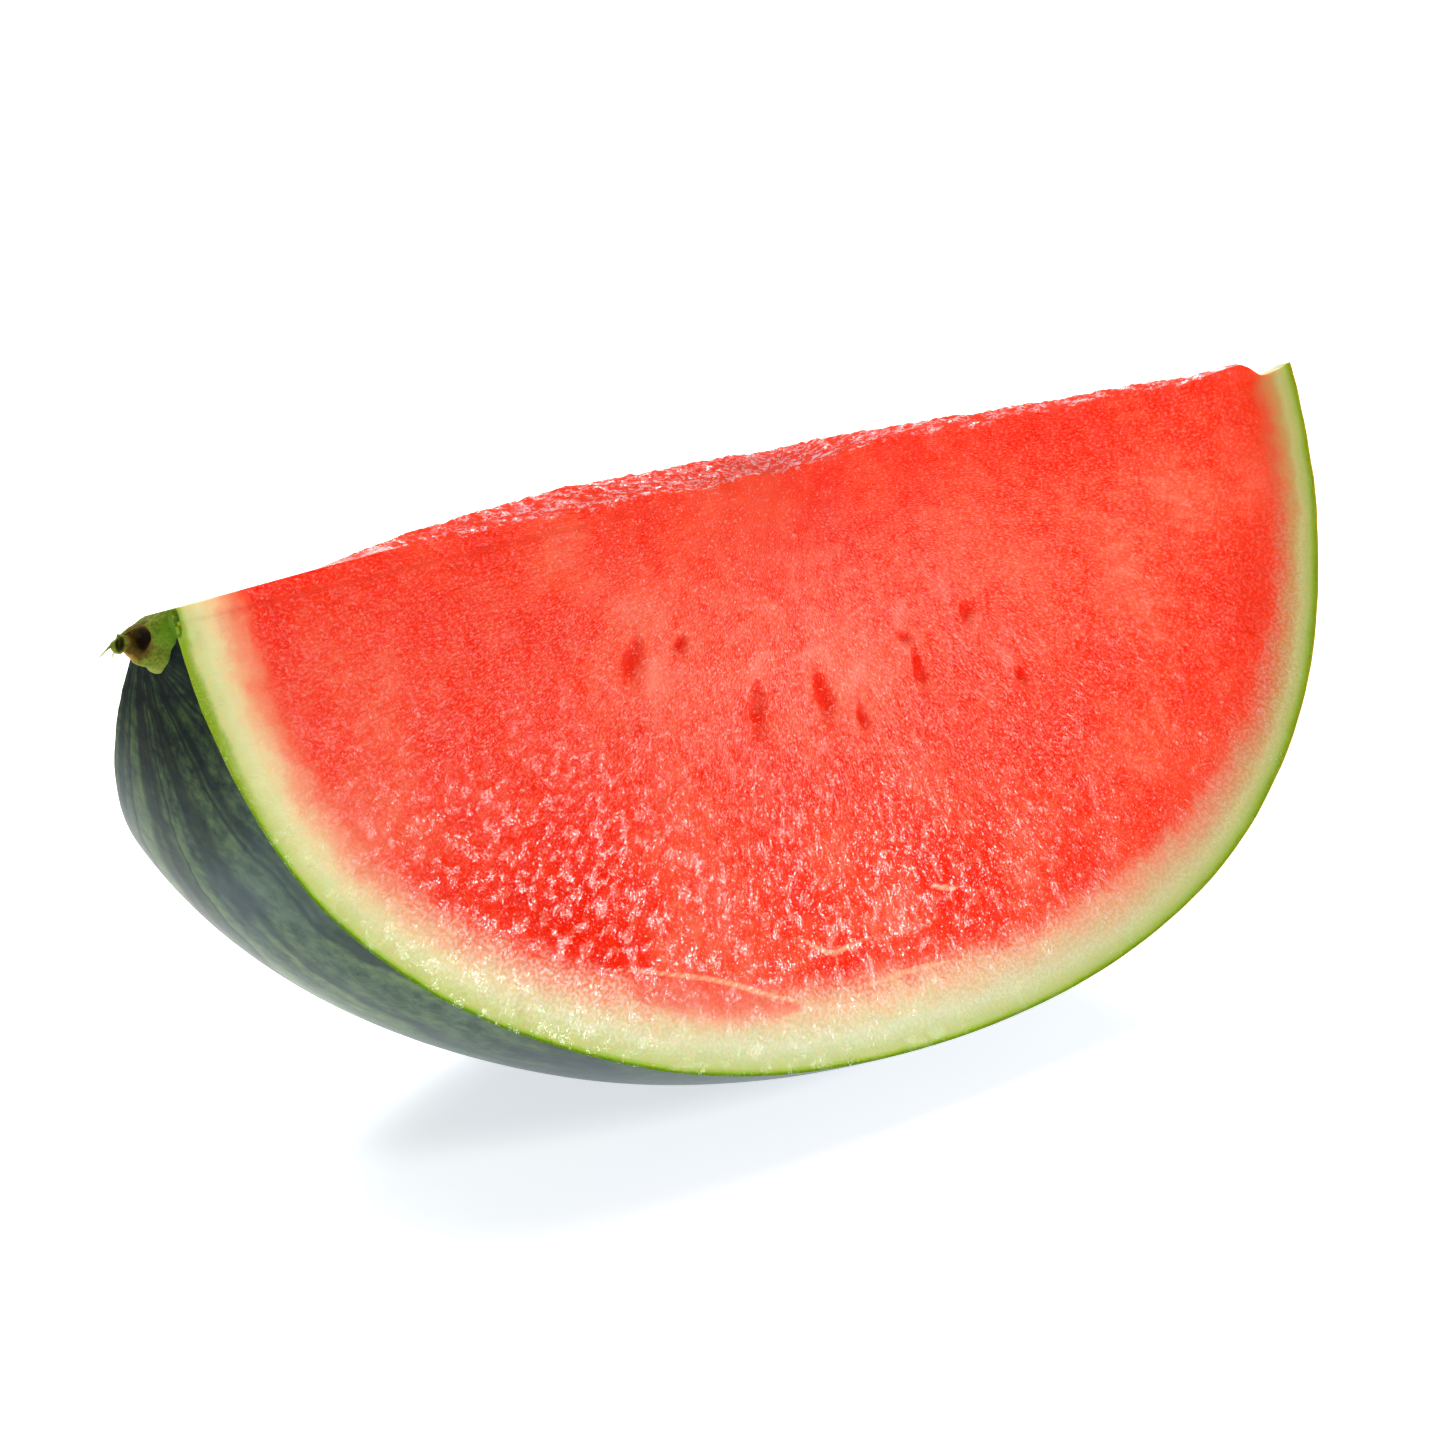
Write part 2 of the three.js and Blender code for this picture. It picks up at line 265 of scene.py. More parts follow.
# %% Knife blocks
KNIFE_LENGTH = 264.0
FACE_BREADTH, FACE_RISE = 122.0, 16.0
BEYOND = 160.0


def knife(name, step, breadth, middle, height, pits=(), crowding=1.0, sign=1):
    """A block under a fine grid, as an object. step is the grid's cells in x and y."""
    block = bmesh.new()
    bmesh.ops.create_grid(block, x_segments=round(KNIFE_LENGTH / step[0]), y_segments=step[1], size=1)
    for vert in block.verts:
        across = math.copysign(abs(vert.co.y) ** crowding, vert.co.y)
        vert.co = Vector((vert.co.x * KNIFE_LENGTH / 2, middle + across * breadth / 2, 0))
    around = [e for e in block.edges if any(
        pit_distance(pits, v.co.x, sign * v.co.y) < 1.7 for v in e.verts)] if pits else []
    if around:
        bmesh.ops.subdivide_edges(block, edges=around, cuts=1, use_grid_fill=True)
    for vert in block.verts:
        vert.co.z = height(vert.co.x, vert.co.y)
    walls = bmesh.ops.extrude_edge_only(block, edges=[e for e in block.edges if e.is_boundary])
    for vert in (g for g in walls["geom"] if isinstance(g, bmesh.types.BMVert)):
        vert.co.z = -BEYOND
    bmesh.ops.edgeloop_fill(block, edges=[e for e in block.edges if e.is_boundary])
    bmesh.ops.recalc_face_normals(block, faces=block.faces)
    return as_object(name, block)


def as_object(name, mesh, matrix=Matrix.Identity(4)):
    """Turns a bmesh into an object in the scene and frees it."""
    bmesh.ops.transform(mesh, matrix=matrix, verts=mesh.verts)
    data = bpy.data.meshes.new(name)
    mesh.to_mesh(data)
    mesh.free()
    made = bpy.data.objects.new(name, data)
    bpy.context.scene.collection.objects.link(made)
    return made


FACE_MIDDLE = FACE_BREADTH / 2 - FACE_RISE
near_knife = knife("near_knife", (0.62, 197), FACE_BREADTH, -FACE_MIDDLE, near_height, NEAR_PITS, sign=-1)
far_knife = knife("far_knife", (1.05, 116), FACE_BREADTH, FACE_MIDDLE, far_height, FAR_PITS)
top_knife = knife("top_knife", (0.45, 104), 124.0, 0.0, top_height, crowding=2.4)
near_knife.data.transform(NEAR_TURN)
far_knife.data.transform(FAR_TURN)
for tool in (near_knife, far_knife, top_knife):
    print(tool.name, len(tool.data.polygons), "faces")

# %% [markdown]
# ## The cut
#
# A Boolean modifier keeps what the fruit and a knife's block share. Its result is one
# closed surface, and the faces keep the number of the tool that made them.

# %% Cut the wedge
SIDES = ("skin", "near", "far", "top")


def evaluated(thing):
    """A new mesh with the object's modifiers applied."""
    bpy.context.view_layer.update()
    graph = bpy.context.evaluated_depsgraph_get()
    return bpy.data.meshes.new_from_object(thing.evaluated_get(graph), depsgraph=graph)


def keep_inside(thing, tool):
    cut = thing.modifiers.new("cut", "BOOLEAN")
    cut.operation = "INTERSECT"
    cut.solver = "MANIFOLD"
    cut.object = tool
    thing.data = evaluated(thing)
    thing.modifiers.clear()


wedge = as_object("melon_wedge", fruit)
side_of = {"melon_wedge": 0, "near_knife": 1, "far_knife": 2, "top_knife": 3}
for thing in (wedge, near_knife, far_knife, top_knife):
    for side in SIDES:
        thing.data.materials.append(bpy.data.materials.get(side) or bpy.data.materials.new(side))
    numbers = np.full(len(thing.data.polygons), side_of[thing.name], np.int32)
    thing.data.polygons.foreach_set("material_index", numbers)
for tool in (near_knife, far_knife, top_knife):
    keep_inside(wedge, tool)
counts = np.bincount([p.material_index for p in wedge.data.polygons], minlength=4)
print("wedge", len(wedge.data.polygons), "faces", dict(zip(SIDES, counts.tolist())))

# %% [markdown]
# ## The stub of the stalk
#
# The stalk has broken off close to the melon. What is left is a low collar that grows
# out of the skin, a hollow where the pith has dried, and a knob of torn fibres at one
# side. The collar is spun from its outline, and the outline's points are few, because
# a subdivision surface rounds them as a growing thing is round. The knob and its neck
# are balls joined to it, and remeshing melts the joints together.

# %% Stub of the stalk
STUB_ACROSS, STUB_UP = -4.3, 1.6
STUB_SINK = 0.2
STUB_SECTORS = 18
STUB_OUTLINE = (
    # radius, height over the skin
    (0.0, -1.4), (4.8, -1.4), (6.9, -0.6), (6.8, 0.5), (5.8, 1.3), (5.3, 2.3), (5.1, 3.3),
    (4.3, 4.1), (3.3, 4.0), (2.7, 3.3), (2.0, 2.5), (1.1, 2.0), (0.0, 2.0),
)
STUB_SLANT = 0.075
BREAK_NORMAL, BREAK_HEIGHT = Vector((0.5, 1.0, 0.5)).normalized(), 3.4
KNOB = Vector((3.5, -1.0, 4.7))
NECK = Vector((3.0, -0.5, 3.6))
DIMPLE_AIM = Vector((-0.93, 0.0, 0.36)).normalized()

collar = bmesh.new()
chain = [collar.verts.new((radius, 0, out)) for radius, out in STUB_OUTLINE]
chain += [collar.edges.new(pair) for pair in zip(chain, chain[1:])]
bmesh.ops.spin(collar, geom=chain, cent=(0, 0, 0), axis=(0, 0, 1), angle=2 * math.pi,
               steps=STUB_SECTORS, use_merge=True)
bmesh.ops.remove_doubles(collar, verts=collar.verts, dist=0.01)
for vert in collar.verts:
    across, rise, out = vert.co
    around = math.atan2(rise, across)
    lobe = 1 + 0.06 * math.sin(3 * around + 0.6) + 0.03 * math.sin(7 * around)
    lobe -= 0.34 * max(math.cos(around + 2.6), 0) ** 2
    if out > 1:
        lobe -= 0.24 * max(math.cos(around + 0.75), 0) ** 4
    vert.co = Vector((across * lobe, rise * lobe, out * (1 + STUB_SLANT * across) if out > 0 else out))
bmesh.ops.recalc_face_normals(collar, faces=collar.faces)
stub = as_object("stalk_stub", collar)
rounding = stub.modifiers.new("rounding", "SUBSURF")
rounding.levels = rounding.render_levels = 2
stub.data = evaluated(stub)
stub.modifiers.clear()


def ball(name, place, radius, stretch):
    made = bmesh.new()
    bmesh.ops.create_uvsphere(made, u_segments=20, v_segments=12, radius=radius)
    bmesh.ops.scale(made, verts=made.verts, vec=stretch)
    return as_object(name, made, Matrix.Translation(place))


def fibre(name, length, radius, aim, bend):
    """A tapering thread that starts in the knob and bends towards its tip."""
    made = bmesh.new()
    bmesh.ops.create_cone(made, cap_ends=True, segments=10, radius1=radius, radius2=0.1, depth=length,
                          matrix=Matrix.Translation((0, 0, length / 2 - 1.0)))
    long_edges = [e for e in made.edges if abs(e.verts[0].co.z - e.verts[1].co.z) > length / 2]
    bmesh.ops.subdivide_edges(made, edges=long_edges, cuts=6, use_grid_fill=True)
    for vert in made.verts:
        vert.co.x += bend * max(vert.co.z, 0) ** 2 / length
    turn = Vector(aim).to_track_quat("Z", "Y").to_matrix().to_4x4()
    return as_object(name, made, Matrix.Translation(KNOB) @ turn)


def join(thing, parts):
    """Unites closed meshes into one and takes the parts out of the scene."""
    for part in parts:
        union = thing.modifiers.new("join", "BOOLEAN")
        union.operation = "UNION"
        union.solver = "MANIFOLD"
        union.object = part
    thing.data = evaluated(thing)
    thing.modifiers.clear()
    for part in parts:
        bpy.data.objects.remove(part)


join(stub, [ball("knob", KNOB, 1.5, (0.9, 1.45, 1.0)), ball("neck", NECK, 1.2, (1.2, 1.0, 1.2))])
melt = stub.modifiers.new("melt", "REMESH")
melt.mode = "VOXEL"
melt.voxel_size = 0.17
stub.data = evaluated(stub)
stub.modifiers.clear()
print("stub", len(stub.data.polygons), "faces before its surface is finished")

# %% [markdown]
# The remeshed stub is smoothed, its upper side is flattened where the stalk tore away,
# the knob gets a small pore, and noise wrinkles the whole. Then it is set on the stem
# end, and the knives trim it with the same cuts that made the wedge.

# %% Surface of the stub
SMOOTHINGS = 6
WRINKLES = ((0.14, 1.3), (0.07, 0.5))
FLUTES, FLUTE_DEPTH = 17, 0.03

worn = bmesh.new()
worn.from_mesh(stub.data)
for _ in range(SMOOTHINGS):
    bmesh.ops.smooth_vert(worn, verts=worn.verts, factor=0.5, use_axis_x=True, use_axis_y=True,
                          use_axis_z=True)
worn.normal_update()
pore = KNOB + DIMPLE_AIM * 1.2


def slit_distance(place):
    """How far a place is from the knob's pore, which is an upright slit."""
    across, rise, out = place[0] - pore.x, place[1] - pore.y, place[2] - pore.z
    return math.hypot(across, 0.5 * rise, out)


for vert in worn.verts:
    over = (vert.co - Vector((0, BREAK_HEIGHT, 0))).dot(BREAK_NORMAL)
    if over > 0:
        vert.co -= BREAK_NORMAL * over * 0.85
    near = slit_distance(vert.co) / 0.8
    if near < 1:
        vert.co -= DIMPLE_AIM * 0.9 * (1 - near * near) ** 2
    wrinkle = sum(depth * noise.noise(vert.co / size) for depth, size in WRINKLES)
    around, reach = math.atan2(vert.co.y, vert.co.x), math.hypot(vert.co.x, vert.co.y)
    fluted = FLUTE_DEPTH * math.sin(FLUTES * around) * smoothstep(reach, 2.5, 5.0)
    vert.co += vert.normal * (wrinkle + fluted)
worn.to_mesh(stub.data)
worn.free()
THREADS = (
    # length, radius, aim, bend
    ("thread_out", 4.8, 0.36, Vector((0.25, -0.45, 0.86)), -0.25),
    ("thread_down", 4.0, 0.46, Vector((0.15, -0.97, 0.2)), 0.2),
)
join(stub, [fibre(*thread) for thread in THREADS])


def skin_at(y, z):
    """Where a line along the fruit's axis meets the skin at the stem end."""
    return skin_tree.ray_cast(Vector((-200, y, z)), Vector((1, 0, 0)))[0].x


for vert in stub.data.vertices:
    across, rise, out = vert.co
    y, z = STUB_ACROSS + across, STUB_UP + rise
    vert.co = Vector((skin_at(y, z) - out + STUB_SINK, y, z))
stub.data.flip_normals()
for side in SIDES:
    stub.data.materials.append(bpy.data.materials[side])
for tool in (near_knife, far_knife, top_knife):
    keep_inside(stub, tool)


def store(mesh, name, values, kind="FLOAT"):
    """Writes one value or vector for every vertex."""
    attribute = mesh.attributes.new(name, kind, "POINT")
    field = "value" if kind == "FLOAT" else "vector"
    attribute.data.foreach_set(field, np.asarray(values, np.float32).ravel())


def made_by(mesh):
    """For every vertex, the highest number of the tools that made the faces round it."""
    tools = np.zeros(len(mesh.vertices), int)
    for face in mesh.polygons:
        for index in face.vertices:
            tools[index] = max(tools[index], face.material_index)
    return tools


def describe_stub(mesh):
    """The place over the skin, and how far the knob, its pore and the threads are."""
    local = np.array([(v.co.y - STUB_ACROSS, v.co.z - STUB_UP, skin_at(v.co.y, v.co.z) + STUB_SINK - v.co.x)
                      for v in mesh.vertices])
    from_knob = local - np.array(KNOB)
    on_thread = np.zeros(len(local))
    for _, _, _, aim, _ in THREADS:
        along = from_knob @ np.array(aim)
        aside = np.linalg.norm(from_knob - along[:, None] * np.array(aim), axis=1)
        on_thread = np.maximum(on_thread, (along > 1.75) * (aside < 1.0))
    store(mesh, "stalk", local, "FLOAT_VECTOR")
    store(mesh, "pore", [slit_distance(place) for place in local])
    store(mesh, "knob", np.linalg.norm(from_knob, axis=1))
    store(mesh, "thread", on_thread)
    store(mesh, "sliced", made_by(mesh) == NEAR)


SKIN, NEAR, FAR, TOP = range(4)
describe_stub(stub.data)
print("stub", len(stub.data.polygons), "faces with", len(stub.data.attributes), "attributes")

# %% [markdown]
# ## What each point of the surface knows
#
# The rind's colours follow the depth under the skin, the veins and cavities have their
# places on the faces, and the grain of the flesh runs from the heart to the skin. Each
# vertex stores these as attributes in millimetres, and the materials read them, so
# every pattern stays where it belongs on all the sides of the wedge.

# %% Veins
# Places along the fruit and down the face, in millimetres.
NEAR_VEINS = (
    ((-58.0, 67.9), (-52.6, 69.3), (-39.5, 73.5), (-32.1, 76.5), (-26.8, 79.6), (-21.2, 81.8), (-16.8, 83.9)),
    ((-8.6, 83.0), (-4.1, 82.3), (1.5, 82.1), (9.1, 82.4), (14.0, 83.0)),
    ((-19.6, 70.9), (-15.6, 73.7), (-12.1, 76.2), (-8.2, 75.4), (-1.6, 75.2)),
    ((10.3, 69.5), (14.2, 70.9), (17.4, 71.8)),
)
NEAR_FAINT = (((-90.1, 15.4), (-83.8, 13.7), (-77.9, 10.6)), ((-100.7, 13.7), (-98.2, 9.8), (-94.0, 8.3)))
NEAR_BLUSH = (((-53.0, 73.0), (-45.0, 76.0), (-36.0, 78.8), (-30.0, 80.4), (-22.0, 82.4)),)
# Pale soft flesh beside the cavities.
NEAR_SMEARS = (
    ((-2.9, 31.0), (-1.3, 28.4), (0.9, 27.6), (2.7, 29.3), (3.5, 31.5)),
    ((-14.9, 31.6), (-13.1, 29.0), (-11.4, 27.6), (-8.8, 26.5)),
    ((4.7, 37.3), (6.5, 34.6), (8.9, 32.8), (10.3, 31.4)),
    ((18.5, 28.0), (19.8, 25.6), (21.9, 23.9)), ((30.6, 21.4), (30.6, 24.0), (30.2, 25.9)),
    ((38.2, 34.8), (39.8, 36.9), (40.9, 38.3)), ((-31.4, 22.4), (-34.2, 27.6)),
)
FAR_SMEARS = (
    ((-26.0, 37.0), (-22.5, 35.5), (-18.0, 37.0)), ((10.0, 39.0), (14.5, 37.5), (19.0, 39.5)),
    ((28.0, 31.0), (32.0, 29.0), (35.0, 31.0)),
)
FAR_VEINS = (
    ((-60, 62), (-41, 71), (-28, 74), (-12, 79), (6, 80), (21, 77)),
    ((34, 66), (48, 64), (57, 58)),
    ((82, 22), (76, 18), (70, 15)),
)
FAR_AWAY = 20.0
VEIN_STEPS = 25


def soft_line(points):
    """A vein's corners made into a smooth line of many short steps."""
    steps = np.linspace(0, len(points) - 1, VEIN_STEPS)
    line = np.column_stack([np.interp(steps, range(len(points)), axis) for axis in zip(*points)])
    for _ in range(SMOOTHINGS):
        line[1:-1] = (line[:-2] + 2 * line[1:-1] + line[2:]) / 4
    return line


def vein_distance(veins, places):
    """Millimetres from each place on a face to its nearest vein, more where a vein thins out."""
    nearest = np.full(len(places), FAR_AWAY)
    for vein in veins:
        line = soft_line(vein)
        for step, (start, end) in enumerate(zip(line, line[1:])):
            along = np.clip(((places - start) @ (end - start)) / ((end - start) @ (end - start)), 0, 1)
            foot = start + along[:, None] * (end - start)
            thickness = 0.25 + 0.75 * math.sin(math.pi * (step + 0.5) / (VEIN_STEPS - 1))
            nearest = np.minimum(nearest, np.linalg.norm(places - foot, axis=1) / thickness)
    return nearest


print("veins", len(NEAR_VEINS), "near,", len(FAR_VEINS), "far")

# %% Attributes of the wedge
NEAR_AXES = NEAR_TURN.inverted()
FAR_AXES = FAR_TURN.inverted()
GIRTH_STRETCH = HALF_LENGTH / 95.0
ARC_RADIUS = 60.0
STEM_END = Vector((-HALF_LENGTH, STUB_ACROSS, STUB_UP))


def describe_wedge(mesh):
    """Stores what the materials need at every vertex of the wedge."""
    tools = made_by(mesh)
    spots = [v.co.copy() for v in mesh.vertices]
    x = np.array([p.x for p in spots])
    down = np.array([(FAR_AXES @ p).y if by == FAR else -(NEAR_AXES @ p).y for p, by in zip(spots, tools)])
    places = np.column_stack((x, down))
    vein, smear, blush = (np.full(len(spots), FAR_AWAY) for _ in range(3))
    for drawn, side, lines in ((vein, NEAR, NEAR_VEINS), (vein, FAR, FAR_VEINS), (smear, NEAR, NEAR_SMEARS),
                               (smear, FAR, FAR_SMEARS), (blush, NEAR, NEAR_BLUSH)):
        drawn[tools == side] = vein_distance(lines, places[tools == side])
    smear[tools == NEAR] = np.minimum(smear, 0.7 + 2.2 * vein_distance(NEAR_FAINT, places))[tools == NEAR]
    cavity, torn = [], []
    for p, by, d in zip(spots, tools, down):
        pits = {NEAR: NEAR_PITS, FAR: FAR_PITS}.get(by, ())
        cavity.append(pit_distance(pits, p.x, d))
        rough = smoothstep(p.x, -76, -58) * (1 - smoothstep(p.x, 96, 108)) if by in (FAR, TOP) else 0.0
        torn.append(rough * (1 - smoothstep(top_height(p.x, p.y) - p.z, 0.3, 3.4)) if rough else 0.0)
    round_heart = np.arctan2(down * GIRTH_STRETCH, x) * ARC_RADIUS, np.hypot(down * GIRTH_STRETCH, x)
    store(mesh, "depth", [skin_tree.find_nearest(p)[3] for p in spots])
    store(mesh, "stem", [(p - STEM_END).length for p in spots])

    def patch(middle, reach, strength=1.0):
        """A soft oval on the face, by its middle and its reach along and down."""
        return strength * np.exp(-((x - middle[0]) / reach[0]) ** 2 - ((down - middle[1]) / reach[1]) ** 2)

    heart = (0.15 + patch((5, 30), (52, 24), 0.75)) * (1 - 0.95 * np.exp(-((down + 2) / 13) ** 2))
    wet = np.maximum(patch((-62, 64), (44, 28)), patch((-5, 73), (62, 24), 0.9))
    wet = np.maximum(wet, 0.26 * np.clip((down - 12) / 30, 0, 1))
    wet = np.maximum(wet, torn)
    dew = (0.10 + patch((5, 72), (62, 24), 0.4) + patch((-15, 25), (35, 25), 0.2)) * (1 - np.array(torn))
    for name, values in (("cavity", cavity), ("vein", vein), ("torn", torn), ("wet", wet), ("dew", dew),
                         ("heart", heart), ("blush", blush), ("smear", smear)):
        store(mesh, name, values)
    flat = np.zeros(len(spots))
    round_skin = np.degrees(np.arctan2([p.y for p in spots], [-p.z for p in spots]))
    store(mesh, "grain", np.column_stack((*round_heart, flat)), "FLOAT_VECTOR")
    store(mesh, "peel", np.column_stack((round_skin, x, flat)), "FLOAT_VECTOR")
    store(mesh, "place", np.column_stack((places, flat)), "FLOAT_VECTOR")


describe_wedge(wedge.data)
print("wedge", len(wedge.data.vertices), "vertices with", len(wedge.data.attributes), "attributes")

# %% [markdown]
# ## Resting on its skin
#
# The wedge's weight flattens the skin a little where it lies. The mesh is moved to the
# part's frame, and what would be under the floor is pressed up to it. The edges
# between the sides are sharp, as a knife leaves them, and all else is smooth.

# %% Rest the wedge
def finish_mesh(thing, matrix):
    """Moves a mesh into the part's frame, rests it on the floor and shades it smooth."""
    thing.data.transform(matrix)
    for vert in thing.data.vertices:
        vert.co.z = max(vert.co.z, 0.0)
    thing.data.shade_smooth()


def sharpen_between_sides(mesh):
    built = bmesh.new()
    built.from_mesh(mesh)
    for edge in built.edges:
        faces = edge.link_faces
        if len(faces) == 2 and faces[0].material_index != faces[1].material_index:
            pair = {faces[0].material_index, faces[1].material_index}
            edge.smooth = pair in ({NEAR, TOP}, {FAR, TOP})
    built.to_mesh(mesh)
    built.free()


finish_mesh(wedge, to_part)
sharpen_between_sides(wedge.data)
finish_mesh(stub, to_part)
sharpen_between_sides(stub.data)
for tool in (near_knife, far_knife, top_knife):
    bpy.data.objects.remove(tool)
print("wedge box", [round(c, 4) for c in np.ptp([v.co for v in wedge.data.vertices], axis=0)])

# %% [markdown]
# ## Materials
#
# One function adds a node: it sets the node's values, and each input is given a value
# or is linked. Colours are written as sRGB hex and turned linear once.

# %% Node helper
def linear(hex_code):
    """An sRGB hex colour as linear red, green, blue and alpha."""
    parts = [int(hex_code[i:i + 2], 16) / 255 for i in (1, 3, 5)]
    return (*(c / 12.92 if c <= 0.04045 else ((c + 0.055) / 1.055) ** 2.4 for c in parts), 1.0)


ALL = None


def add(tree, kind, inputs=(), stops=(), out=0, **settings):
    """Adds a shader node with its settings, colour stops, and values or links for its inputs.

    It gives the output that out names, so calls can be chained, or ALL of them.
    """
    made = tree.nodes.new("ShaderNode" + kind)
    for name, value in settings.items():
        setattr(made, name, value)
    for order, (place, colour) in enumerate(stops):
        elements = made.color_ramp.elements
        if order == 0:
            elements.remove(elements[1])
            elements[0].position, stop = place, elements[0]
        else:
            stop = elements.new(place)
        stop.color = linear(colour)
    for socket, value in dict(inputs).items():
        if isinstance(value, bpy.types.NodeSocket):
            tree.links.new(value, made.inputs[socket])
        else:
            made.inputs[socket].default_value = value
    return made.outputs if out is ALL else made.outputs[out]


def new_material(name, look):
    """An empty material with a Principled shader, whose plain values are set by look."""
    material = bpy.data.materials.new(name)
    material.use_nodes = True
    shader = material.node_tree.nodes["Principled BSDF"]
    for socket, value in look.items():
        shader.inputs[socket].default_value = value
    return material, material.node_tree, shader


# Places of the sockets of a Mix node for colours and for numbers, and the setting of a
# Map Range node whose ends are eased.
COLOUR_A, COLOUR_B, COLOUR_OUT = 6, 7, 2
FLOAT_A, FLOAT_B = 2, 3
SOFTLY = {"interpolation_type": "SMOOTHSTEP"}
print("helpers ready")

# %% [markdown]
# ## Wet melon flesh, cut and torn
#
# The flesh is a mass of thin-walled juice sacs about a millimetre across. A knife opens
# them, so the surface is wet, grainy and glittering, and light goes some millimetres
# in. From the skin inwards it is a thin green line, pale green, cream, blush and red.
# One material does all this, because one grown piece has no border between them. Its
# colours are layers: each has a mask, made from the attributes and from noise, and a
# colour, and a short loop lays them over each other.

# %% What the flesh is made of
RIND_LEFT = (
    (0.000, "#4E7406"), (0.018, "#64920A"), (0.032, "#9CBE2C"), (0.062, "#C6D07A"), (0.240, "#E2DDA2"),
    (0.340, "#EED29A"), (0.430, "#F2B486"), (0.530, "#F7906A"), (0.680, "#FB6644"),
)
RIND_BASE = (
    (0.000, "#4E7406"), (0.015, "#64920A"), (0.030, "#9CBC30"), (0.060, "#C2CC80"), (0.240, "#DADCAE"),
    (0.350, "#E0CE9A"), (0.460, "#EDC092"), (0.600, "#EE885E"), (0.760, "#F95A3A"),
)
RIND_RIGHT = (
    (0.000, "#587A0C"), (0.045, "#7E9A22"), (0.100, "#A4AC5C"), (0.180, "#B8AC6C"), (0.260, "#BC9054"),
    (0.340, "#C87A48"), (0.430, "#D45C3A"), (0.560, "#E0401E"),
)
RAMP_DEPTH = 20.0
HEART_REDS = ((0.36, "#EE1E02"), (0.48, "#F62D0A"), (0.58, "#FA4C2B"), (0.68, "#FC6E50"))

# Sizes of the patterns in millimetres. Real sugar grains and strands are finer than a
# tenth of a millimetre, and are drawn as coarse as they need to be to show.
BROAD_PATCH, CLOUD, RIND_PATCH = 20.0, 3.0, 5.0
BUNCH, SAC, SUGAR, STRAND = 1.4, 0.80, 0.40, 0.36
STREAK_WIDTH, STREAK_LENGTH = 1.4, 5.5
FILM_LENGTH, FILM_WIDTH = 2.2, 0.9
SAC_DRAWN_OUT = 0.42
SAC_HEIGHT, SUGAR_HEIGHT, TORN_HEIGHT = 0.55 * MM, 0.08 * MM, 0.2 * MM


def read_flesh(tree):
    """The places, attributes and grain patterns that the flesh's layers share."""
    know = SimpleNamespace()
    for name in ("depth", "cavity", "vein", "torn", "wet", "dew", "blush", "smear", "heart", "stem"):
        setattr(know, name, add(tree, "Attribute", attribute_name=name, out="Fac"))
    know.grain = add(tree, "Attribute", attribute_name="grain", out="Vector")
    place = add(tree, "Attribute", attribute_name="place", out="Vector")
    know.along = add(tree, "SeparateXYZ", {0: place})
    places = add(tree, "TexCoord", out="Object")
    know.mm = add(tree, "VectorMath", {0: places, "Scale": 1 / MM}, operation="SCALE")

    # The sacs are a little drawn out towards the skin.
    drawn = add(tree, "VectorMath", {0: know.grain, 1: (1.0, SAC_DRAWN_OUT, 1.0)}, operation="MULTIPLY")
    for name, places, size, detail in (("sac", drawn, SAC, 2.0), ("bunch", drawn, BUNCH, 2.0),
                                       ("strand", drawn, STRAND, 1.0), ("sugar", know.mm, SUGAR, 1.0)):
        noisy = add(tree, "TexNoise", {"Vector": places, "Scale": 1 / size, "Detail": detail})
        setattr(know, name, noisy)

    # Where the sacs lie open their crowns shine, and the paler tint they get is partly painted sheen.
    crown = add(tree, "MapRange", {0: know.bunch, 1: 0.49, 2: 0.57}, **SOFTLY)
    know.opened = add(tree, "Math", {0: crown, 1: know.wet}, operation="MULTIPLY")
    return know


def layered(tree, colour, layers):
    """Lays colours over a first one, each as strongly as its mask says."""
    for mask, tint in layers:
        colour = add(tree, "Mix", {0: mask, COLOUR_A: colour, COLOUR_B: linear(tint)},
                     data_type="RGBA", out=COLOUR_OUT)
    return colour


print("rind", RAMP_DEPTH, "mm deep, sacs", SAC, "mm")

